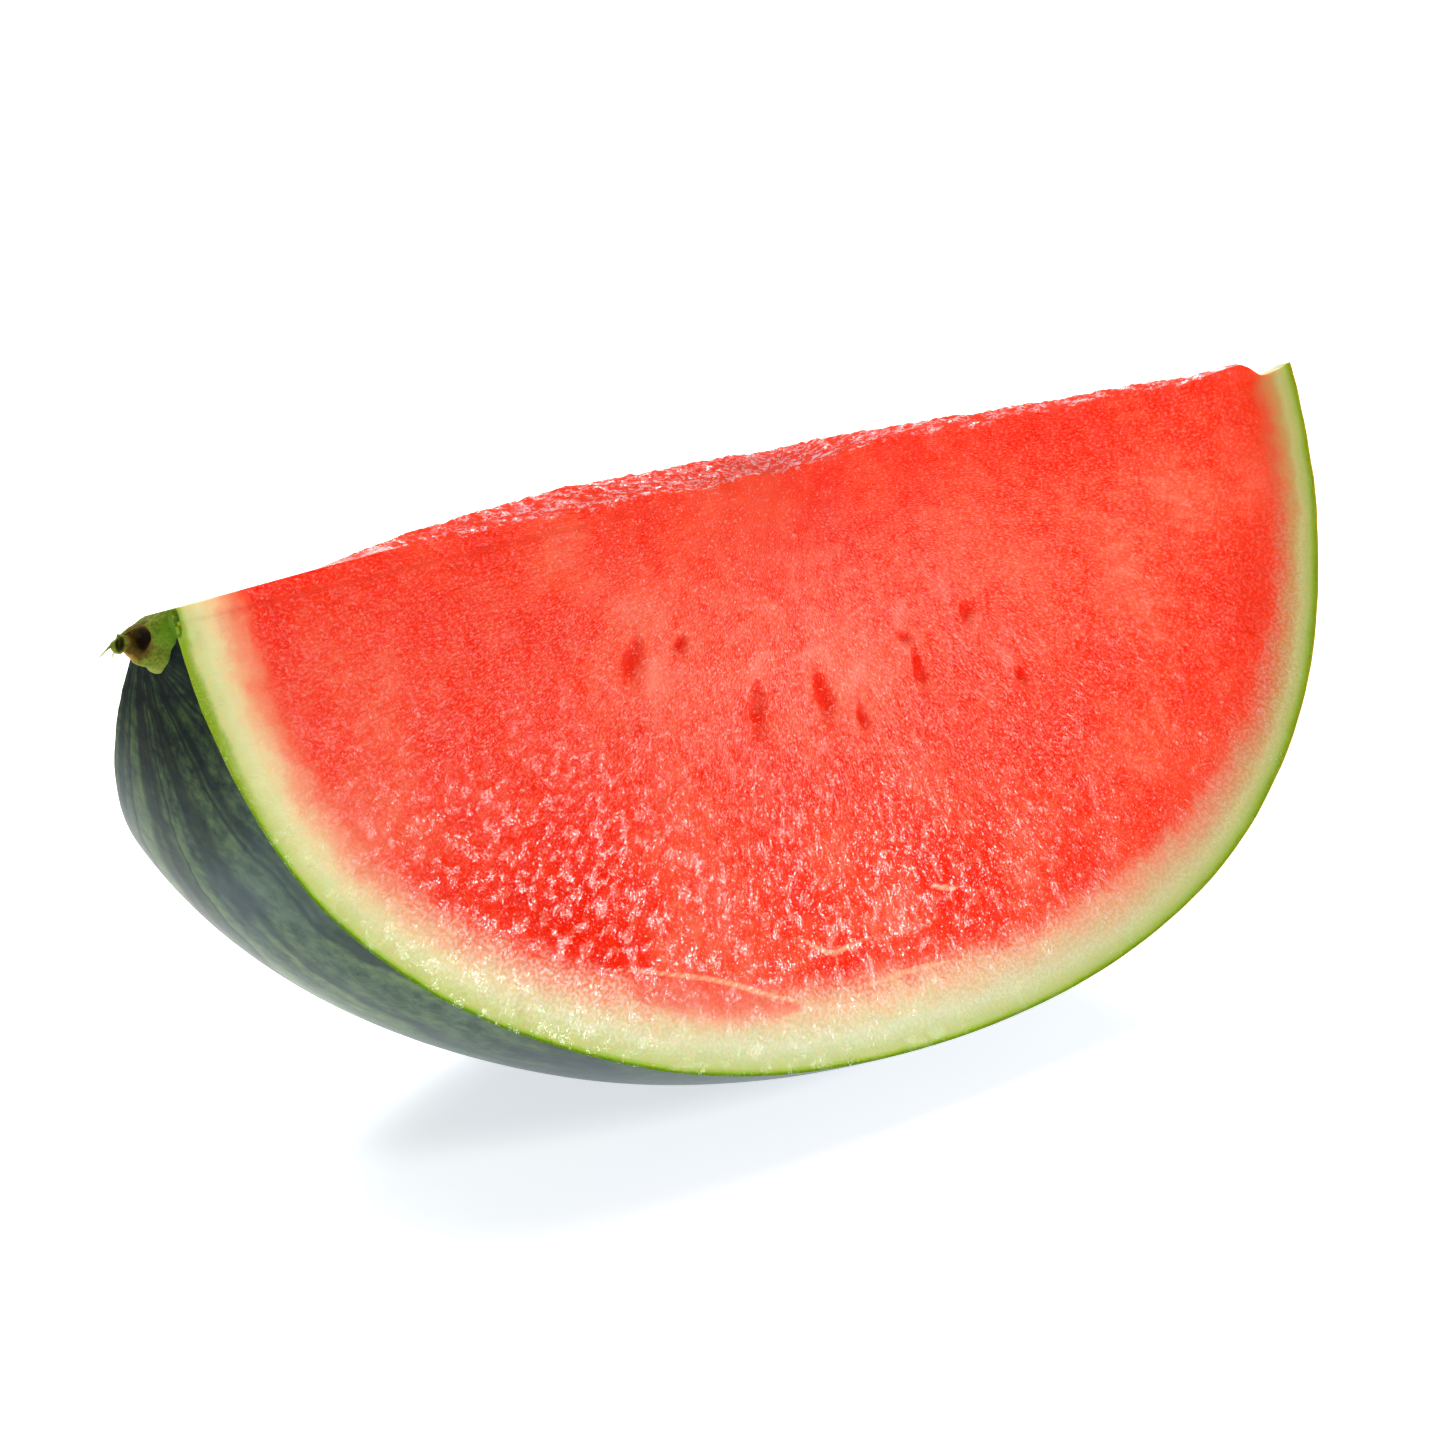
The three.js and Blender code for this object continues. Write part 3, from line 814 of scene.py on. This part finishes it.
# %% Colour of the heart
def heart_colour(tree, know):
    """The red of the heart wanders over centimetres, with streaks that run to the skin."""
    broad = add(tree, "TexNoise", {"Vector": know.mm, "Scale": 1 / BROAD_PATCH, "Detail": 3.0})
    flow = add(tree, "VectorMath", {0: know.grain, 1: (1 / STREAK_WIDTH, 1 / STREAK_LENGTH, 1.0)},
               operation="MULTIPLY")
    streak = add(tree, "TexNoise", {"Vector": flow, "Scale": 1.0, "Detail": 3.0, "Roughness": 0.6})
    tone = add(tree, "Mix", {0: 0.34, FLOAT_A: broad, FLOAT_B: streak})
    reds = add(tree, "ValToRGB", {0: tone}, stops=HEART_REDS)

    # Dry flesh is hazy with opened walls; on the wet sacs the haze gives way to paler orange crowns, partly
    # their own tint and partly painted sheen over the real shine.
    cloud = add(tree, "TexNoise", {"Vector": know.mm, "Scale": 1 / CLOUD, "Detail": 5.0, "Roughness": 0.7})
    haze = add(tree, "MapRange", {0: know.heart, 1: 0.0, 2: 0.9, 3: 0.15, 4: 0.80})
    haze = add(tree, "MapRange", {0: know.wet, 3: haze, 4: 0.0})
    haze = add(tree, "MapRange", {0: cloud, 1: 0.40, 2: 0.66, 3: 0.0, 4: haze})
    pale_crowns_and_sheen = add(tree, "Math", {0: know.opened, 1: 0.4}, operation="MULTIPLY")

    # Soft pale smears and the deeper red of the seed cavities have frayed borders.
    uneven = add(tree, "Math", {0: cloud, 1: 2.6, 2: know.smear}, operation="MULTIPLY_ADD")
    smears = add(tree, "MapRange", {0: uneven, 1: 1.3, 2: 3.3, 3: 0.3, 4: 0.0}, **SOFTLY)
    uneven = add(tree, "Math", {0: cloud, 1: 2.4, 2: know.cavity}, operation="MULTIPLY_ADD")
    inside = add(tree, "MapRange", {0: uneven, 1: 1.5, 2: 2.6, 3: 0.85, 4: 0.0}, **SOFTLY)

    # A pale sparkle along the dry sacs, partly pale grains and partly painted glints, and white drops between
    # the grains, which are painted glints.
    sparkle = add(tree, "MapRange", {0: know.heart, 3: 0.14, 4: 0.55})
    for without in (know.wet, inside):
        sparkle = add(tree, "MapRange", {0: without, 3: sparkle, 4: 0.0})
    sparkle = add(tree, "MapRange", {0: know.strand, 1: 0.46, 2: 0.70, 3: 0.0, 4: sparkle}, **SOFTLY)
    painted_juice_glints = add(tree, "MapRange", {0: know.sugar, 1: 0.63, 2: 0.70, 3: 0.0, 4: know.dew}, **SOFTLY)

    # Torn flesh is clear red under a net of white films, the walls of the opened sacs; the net is a painted
    # highlight of the light they reflect.
    raw = add(tree, "Math", {0: know.torn, 1: 0.85}, operation="MULTIPLY")
    long = add(tree, "VectorMath", {0: know.mm, 1: (1 / FILM_LENGTH, 1 / FILM_WIDTH, 1 / FILM_WIDTH)},
               operation="MULTIPLY")
    painted_film_highlight = add(tree, "TexNoise", {"Vector": long, "Scale": 1.0, "Detail": 3.0, "Roughness": 0.65})
    painted_film_highlight = add(tree, "Math", {0: painted_film_highlight, 1: 0.5}, operation="SUBTRACT")
    painted_film_highlight = add(tree, "Math", {0: painted_film_highlight}, operation="ABSOLUTE")
    bunched = add(tree, "MapRange", {0: know.bunch, 1: 0.42, 2: 0.58})
    bunched = add(tree, "Math", {0: bunched, 1: know.torn}, operation="MULTIPLY")
    painted_film_highlight = add(tree, "MapRange", {0: painted_film_highlight, 1: 0.055, 2: 0.0, 4: bunched})
    return layered(tree, reds, (
        (haze, "#FA765A"), (pale_crowns_and_sheen, "#FF7040"), (smears, "#FA9E88"), (inside, "#FC2404"),
        (sparkle, "#FFBEAC"), (painted_juice_glints, "#FFEDE6"), (raw, "#F24A34"), (painted_film_highlight, "#FBDCDC"),
    ))


print("heart reds", [tint for _, tint in HEART_REDS])

# %% Colour of the rind
def rind_over(tree, know, heart):
    """The rind, by depth under the skin, with a border that wanders, and the heart inside it."""
    wander = add(tree, "TexNoise", {"Vector": know.mm, "Scale": 1 / RIND_PATCH, "Detail": 4.0,
                                    "Roughness": 0.6})
    waver = add(tree, "MapRange", {0: wander, 1: 0.0, 2: 1.0, 3: -3.0, 4: 3.0})
    share = add(tree, "MapRange", {0: know.depth, 1: 0.3, 2: 9.0, 3: 0.04, 4: 1.0})
    shifted = add(tree, "Math", {0: waver, 1: share, 2: know.depth}, operation="MULTIPLY_ADD")
    level = add(tree, "Math", {0: shifted, 1: RAMP_DEPTH}, operation="DIVIDE")
    left, base, right_end = (add(tree, "ValToRGB", {0: level}, stops=stops)
                             for stops in (RIND_LEFT, RIND_BASE, RIND_RIGHT))
    to_base = add(tree, "MapRange", {0: know.along, 1: -85.0, 2: -30.0})
    to_right = add(tree, "MapRange", {0: know.along, 1: 0.0, 2: 98.0})
    rind = left
    for part, ramp in ((to_base, base), (to_right, right_end)):
        rind = add(tree, "Mix", {0: part, COLOUR_A: rind, COLOUR_B: ramp}, data_type="RGBA", out=COLOUR_OUT)

    # Pale strands painted as glints where the rind is wet, and a green rim that widens towards the stem.
    painted_rind_glints = add(tree, "MapRange", {0: know.depth, 1: 1.5, 2: 4.0, 4: 0.42})
    painted_rind_glints = add(tree, "Math", {0: know.wet, 1: painted_rind_glints}, operation="MULTIPLY")
    painted_rind_glints = add(tree, "MapRange", {0: know.strand, 1: 0.40, 2: 0.64, 3: 0.0, 4: painted_rind_glints}, **SOFTLY)
    green = add(tree, "MapRange", {0: know.stem, 1: 45.0, 2: 12.0, 4: 0.9}, **SOFTLY)
    uneven = add(tree, "Math", {0: waver, 1: 0.4, 2: know.depth}, operation="MULTIPLY_ADD")
    green = add(tree, "MapRange", {0: uneven, 1: 2.8, 2: 1.2, 4: green}, **SOFTLY)
    rind = layered(tree, rind, ((painted_rind_glints, "#FDF6E6"), (green, "#8CA81C")))

    # Towards the blossom end the rind is thinner, and the flesh next to it is darkened with painted shade.
    inward = add(tree, "Math", {0: to_right, 1: 3.0, 2: shifted}, operation="MULTIPLY_ADD")
    know.ripe = add(tree, "MapRange", {0: inward, 1: 11.5, 2: 16.0}, **SOFTLY)
    painted_tip_shade = add(tree, "Math", {0: to_right, 1: 0.5}, operation="MULTIPLY")
    painted_tip_shade = add(tree, "MapRange", {0: inward, 1: 30.0, 2: 13.0, 4: painted_tip_shade}, **SOFTLY)
    heart = layered(tree, heart, ((painted_tip_shade, "#D62E10"),))
    colour = add(tree, "Mix", {0: know.ripe, COLOUR_A: rind, COLOUR_B: heart},
                 data_type="RGBA", out=COLOUR_OUT)
    flush = add(tree, "MapRange", {0: know.blush, 1: 0.0, 2: 5.4, 3: 0.66, 4: 0.0}, **SOFTLY)
    line = add(tree, "MapRange", {0: know.vein, 1: 0.1, 2: 0.7, 3: 0.8, 4: 0.0}, **SOFTLY)
    return layered(tree, colour, ((flush, "#F45A44"), (line, "#FBC094")))


print("rind ramps", len(RIND_LEFT), len(RIND_BASE), len(RIND_RIGHT), "stops")

# %% Flesh
def melon_flesh():
    """Wet cut flesh: juice makes it smooth, and light that goes in makes it glow."""
    material, tree, shader = new_material("wet_melon_flesh_cut_open", {
        "IOR": 1.42, "Roughness": 0.13, "Specular IOR Level": 0.1,
        "Subsurface Weight": 0.85, "Subsurface Radius": (1.0, 0.32, 0.18), "Subsurface Scale": 0.0025,
    })
    know = read_flesh(tree)
    tree.links.new(rind_over(tree, know, heart_colour(tree, know)), shader.inputs["Base Color"])

    # The film of juice shines on the open sacs, and small drops of it glitter elsewhere.
    fleck = add(tree, "MapRange", {0: know.sugar, 1: 0.54, 2: 0.66, 3: 0.0, 4: know.dew}, **SOFTLY)
    shine = add(tree, "Math", {0: know.opened, 1: fleck}, operation="MAXIMUM")
    brightest = add(tree, "MapRange", {0: know.ripe, 3: 0.35, 4: 0.7})
    glint = add(tree, "MapRange", {0: shine, 3: 0.02, 4: brightest})
    tree.links.new(glint, shader.inputs["Specular IOR Level"])

    # The relief of sacs and sugar that is finer than the mesh.
    height = add(tree, "MapRange", {0: know.torn, 3: SUGAR_HEIGHT, 4: TORN_HEIGHT})
    relief = add(tree, "Bump", {"Strength": 1.0, "Distance": height, "Height": know.sugar})
    strength = add(tree, "MapRange", {0: know.wet, 3: 0.4, 4: 1.0})
    hills = add(tree, "Mix", {0: 0.5, FLOAT_A: know.sac, FLOAT_B: know.bunch})
    relief = add(tree, "Bump", {"Strength": strength, "Distance": SAC_HEIGHT, "Height": hills,
                                "Normal": relief})
    tree.links.new(relief, shader.inputs["Normal"])
    return material


flesh_material = melon_flesh()
print(flesh_material.name, len(flesh_material.node_tree.nodes), "nodes")

# %% [markdown]
# ## Waxy melon skin
#
# The skin is dark green with bands and fine crooked veins that run from end to end, and
# a blue-grey bloom of wax dulls it. The bands follow the meridians, so they narrow
# towards the stem.

# %% Skin
SKIN_GREENS = ((0.36, "#3A493E"), (0.45, "#526454"), (0.53, "#667A5C"), (0.62, "#798C60"), (0.72, "#687B66"))

# Sizes round the fruit in degrees, and along it or on the surface in millimetres.
CROOK, CROOK_TURN, CROOK_SHIFT = 18.0, 14.0, 40.0
BAND_WIDTH, BAND_LENGTH = 14.0, 80.0
STREAK_TURN, STREAK_RUN = 5.0, 20.0
THREAD_WIDTH, THREAD_LENGTH = 15.0, 110.0
MOTTLE, WAX_PATCH = 2.6, 26.0
WAX_HEIGHT = 0.12 * MM


def melon_skin():
    """Grown skin with a bloom of wax: a dull sheen that only turns glossy where it is wet."""
    material, tree, shader = new_material("waxy_melon_skin", {
        "Roughness": 0.28, "IOR": 1.42, "Specular IOR Level": 0.05,
    })
    places = add(tree, "TexCoord", out="Object")
    mm = add(tree, "VectorMath", {0: places, "Scale": 1 / MM}, operation="SCALE")
    peel = add(tree, "Attribute", attribute_name="peel", out="Vector")
    stem = add(tree, "Attribute", attribute_name="stem", out="Fac")

    # Bands some degrees wide and centimetres long, made crooked by slow noise. Round the
    # stalk they blur into mottled dark green.
    near_stem = add(tree, "MapRange", {0: stem, 1: 44.0, 2: 12.0}, **SOFTLY)
    crook = add(tree, "TexNoise", {"Vector": mm, "Scale": 1 / CROOK, "Detail": 3.0}, out="Color")
    shifted = add(tree, "VectorMath", {0: crook, 1: (CROOK_TURN, CROOK_SHIFT, 0.0), 2: peel},
                  operation="MULTIPLY_ADD")
    wide, narrow = (
        add(tree, "VectorMath", {0: shifted, 1: (1 / turn, 1 / run, 1.0)}, operation="MULTIPLY")
        for turn, run in ((BAND_WIDTH, BAND_LENGTH), (STREAK_TURN, STREAK_RUN)))
    bands = add(tree, "TexNoise", {"Vector": wide, "Scale": 1.0, "Detail": 2.0, "Roughness": 0.4})
    streaks = add(tree, "TexNoise", {"Vector": narrow, "Scale": 1.0, "Detail": 3.0, "Roughness": 0.6})
    mottle = add(tree, "TexNoise", {"Vector": mm, "Scale": 1 / MOTTLE, "Detail": 5.0, "Roughness": 0.65})
    blur = add(tree, "MapRange", {0: near_stem, 3: 0.4, 4: 0.8})
    tone = add(tree, "Mix", {0: 0.15, FLOAT_A: bands, FLOAT_B: streaks})
    tone = add(tree, "Mix", {0: blur, FLOAT_A: tone, FLOAT_B: mottle})
    green = add(tree, "ValToRGB", {0: tone}, stops=SKIN_GREENS)

    # Dark blue-green lines with soft edges where a noise crosses its middle value.
    thin = add(tree, "VectorMath", {0: shifted, 1: (1 / THREAD_WIDTH, 1 / THREAD_LENGTH, 1.0),
                                    2: (7.0, 3.0, 0.0)}, operation="MULTIPLY_ADD")
    threads = add(tree, "TexNoise", {"Vector": thin, "Scale": 1.0, "Detail": 2.0})
    middle = add(tree, "Math", {0: threads, 1: 0.5}, operation="SUBTRACT")
    away = add(tree, "Math", {0: middle}, operation="ABSOLUTE")
    dark = add(tree, "MapRange", {0: away, 1: 0.0, 2: 0.09, 3: 0.75, 4: 0.0}, **SOFTLY)
    green = layered(tree, green, ((dark, "#353F44"),))

    # The wax lies thicker in places, the skin is darkest round the stalk, and painted shade greys and darkens
    # it towards the bottom.
    wax = add(tree, "TexNoise", {"Vector": mm, "Scale": 1 / WAX_PATCH, "Detail": 4.0, "Roughness": 0.6})
    bloom = add(tree, "MapRange", {0: wax, 1: 0.44, 2: 0.68, 3: 0.0, 4: 0.35})
    colour = layered(tree, green, ((bloom, "#68757E"),))
    deep = add(tree, "MapRange", {0: near_stem, 4: 0.9})
    colour = add(tree, "Mix", {0: deep, COLOUR_A: colour, COLOUR_B: green}, data_type="RGBA",
                 blend_type="MULTIPLY", out=COLOUR_OUT)
    rise = add(tree, "SeparateXYZ", {0: mm}, out=2)
    # Painted shade: a dark grey-blue laid over the skin, stronger the lower it lies.
    painted_shade_below = add(tree, "MapRange", {0: rise, 1: 34.0, 2: 6.0, 4: 0.75})
    tree.links.new(layered(tree, colour, ((painted_shade_below, "#46545A"),)), shader.inputs["Base Color"])

    # Juice has run down and wet the lower skin, which shines there; above it the wax is dull.
    juice = add(tree, "MapRange", {0: rise, 1: 55.0, 2: 15.0, 3: 0.018, 4: 0.046})
    tree.links.new(juice, shader.inputs["Specular IOR Level"])
    relief = add(tree, "Bump", {"Strength": 0.4, "Distance": WAX_HEIGHT, "Height": mottle})
    tree.links.new(relief, shader.inputs["Normal"])
    return material


skin_material = melon_skin()
sides = np.empty(len(wedge.data.polygons), np.int32)
wedge.data.polygons.foreach_get("material_index", sides)
wedge.data.materials.clear()
wedge.data.materials.append(skin_material)
wedge.data.materials.append(flesh_material)
wedge.data.polygons.foreach_set("material_index", np.minimum(sides, 1).astype(np.int32))
print("skin faces", int((sides == SKIN).sum()), "flesh faces", int((sides != SKIN).sum()))

# %% [markdown]
# ## Half dry stalk
#
# The stub is still green where it grows from the skin, pale and soft low on its lip, tan
# where it has begun to dry, and nearly black in the hollow, partly rot and partly painted
# shade. Its own places in millimetres steer the colours, and noise breaks up their borders.

# %% Stalk
STALK_PATCH, STALK_SPECK = 1.8, 0.5
STALK_CROOK = (3.0, 3.0, 3.0)
HOLLOW_MIDDLE = (1.5, 1.5, 0.0)
STALK_WRINKLE = 0.15 * MM


def half_dry_stalk():
    """A broken plant stem: dull and fibrous, with a little light passing its green parts."""
    material, tree, shader = new_material("half_dry_stalk", {
        "Roughness": 0.5, "IOR": 1.45, "Specular IOR Level": 0.06,
        "Subsurface Weight": 0.12, "Subsurface Scale": 0.001, "Subsurface Radius": (0.8, 1.0, 0.3),
    })
    stalk = add(tree, "Attribute", attribute_name="stalk", out="Vector")
    knob, thread, pore, sliced = (add(tree, "Attribute", attribute_name=name, out="Fac")
                                  for name in ("knob", "thread", "pore", "sliced"))
    patches = add(tree, "TexNoise", {"Vector": stalk, "Scale": 1 / STALK_PATCH, "Detail": 4.0,
                                     "Roughness": 0.6}, out="Color")
    specks = add(tree, "TexNoise", {"Vector": stalk, "Scale": 1 / STALK_SPECK, "Detail": 3.0,
                                    "Roughness": 0.6})
    crooked = add(tree, "VectorMath", {0: patches, 1: STALK_CROOK, 2: stalk},
                  operation="MULTIPLY_ADD")
    across, rise, out = add(tree, "SeparateXYZ", {0: crooked}, out=ALL)
    flat = add(tree, "CombineXYZ", {0: across, 1: rise})
    reach = add(tree, "VectorMath", {0: flat, 1: HOLLOW_MIDDLE}, operation="DISTANCE", out="Value")

    # Green collar, yellower and paler towards the bottom of the lip.
    tone = add(tree, "MapRange", {0: specks, 1: 0.35, 2: 0.65})
    collar = add(tree, "Mix", {0: tone, COLOUR_A: linear("#5A6C16"), COLOUR_B: linear("#84922E")},
                 data_type="RGBA", out=COLOUR_OUT)
    bright = add(tree, "MapRange", {0: across, 1: -0.6, 2: -3.6}, **SOFTLY)
    low = add(tree, "MapRange", {0: rise, 1: -1.6, 2: -4.4, 4: 0.55}, **SOFTLY)

    # Tan lip on the drying side; the hollow nearly black, partly rot and partly painted shade that deepens
    # with depth; and the pore painted near black.
    tan, facing, beyond, below = (
        add(tree, "MapRange", {0: value, 1: none, 2: whole}, **SOFTLY)
        for value, none, whole in ((reach, 4.4, 3.0), (across, 0.2, 2.6), (knob, 1.7, 2.3), (rise, 3.2, 1.6)))
    for share in (facing, below, beyond):
        tan = add(tree, "Math", {0: tan, 1: share}, operation="MULTIPLY")
    rim = add(tree, "MapRange", {0: reach, 1: 3.2, 2: 2.5}, **SOFTLY)
    rim = add(tree, "Math", {0: rim, 1: beyond}, operation="MULTIPLY")
    painted_recess_shade = add(tree, "MapRange", {0: out, 1: 5.2, 2: 4.0}, **SOFTLY)
    rot_and_painted_shade = add(tree, "MapRange", {0: reach, 1: 3.2, 2: 0.8, 4: painted_recess_shade}, **SOFTLY)
    hole = add(tree, "MapRange", {0: pore, 1: 0.95, 2: 0.5}, **SOFTLY)
    colour = layered(tree, collar, (
        (bright, "#527C10"), (low, "#9EA648"), (sliced, "#5C8814"), (tan, "#C79A50"),
        (rim, "#6C5A1E"), (rot_and_painted_shade, "#22160C"), (thread, "#D2D07E"), (hole, "#2A1C0A"),
    ))
    tree.links.new(colour, shader.inputs["Base Color"])
    relief = add(tree, "Bump", {"Strength": 0.6, "Distance": STALK_WRINKLE, "Height": specks})
    tree.links.new(relief, shader.inputs["Normal"])
    return material


stub.data.materials.clear()
stub.data.materials.append(half_dry_stalk())
print("stub vertices", len(stub.data.vertices))

# %% [markdown]
# ## The studio
#
# The wedge lies on a white light table: an acrylic sheet that glows a little, so that
# shadows on it stay faint. A large soft lamp hangs above. A small bright one at the
# right stands where the wet cut face mirrors it towards the camera, so the juice sacs
# glint. A third behind the wedge lights the far face and the torn ridge.

# %% Floor and light
scene = bpy.context.scene
scene.view_settings.view_transform = "Standard"
MIDDLE = Vector((0.0, 0.0, 0.05))


def soft_lamp(name, place, radiance, size):
    """A rectangular lamp of a given brightness, aimed at the wedge."""
    lamp = bpy.data.lights.new(name, "AREA")
    lamp.shape = "RECTANGLE"
    lamp.size, lamp.size_y = size
    lamp.energy = radiance * math.pi * size[0] * size[1]
    made = bpy.data.objects.new(name, lamp)
    made.location = place
    made.rotation_euler = (Vector(place) - MIDDLE).to_track_quat("Z", "Y").to_euler()
    scene.collection.objects.link(made)
    return made


LAMPS = (
    # name, place in metres, radiance, size in metres
    ("lamp_above", (-0.15, 0.35, 1.0), 4.3, (0.9, 0.7)),
    ("lamp_right", (0.58, -0.88, 0.42), 58.0, (0.19, 0.19)),
    ("lamp_behind", (0.60, 0.80, 0.42), 34.0, (0.4, 0.2)),
)
ROOM_LIGHT, TABLE_GLOW, TABLE_HALF = 0.15, 0.70, 20.0
for lamp in LAMPS:
    soft_lamp(*lamp)
world = bpy.data.worlds.new("white_room")
world.use_nodes = True
room = world.node_tree.nodes["Background"]
room.inputs["Color"].default_value = linear("#FFFFFF")
room.inputs["Strength"].default_value = ROOM_LIGHT
scene.world = world

table = bmesh.new()
bmesh.ops.create_grid(table, x_segments=2, y_segments=2, size=TABLE_HALF)
floor = as_object("floor", table)
acrylic, _, _ = new_material("white_acrylic_light_table", {
    "Base Color": linear("#F7F7F8"), "Roughness": 0.6,
    "Emission Color": linear("#F4F7FC"), "Emission Strength": TABLE_GLOW,
})
floor.data.materials.append(acrylic)

# %% Finish
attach(wedge, "root")
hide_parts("wedge")
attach(stub, "root")
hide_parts("stem_stub")
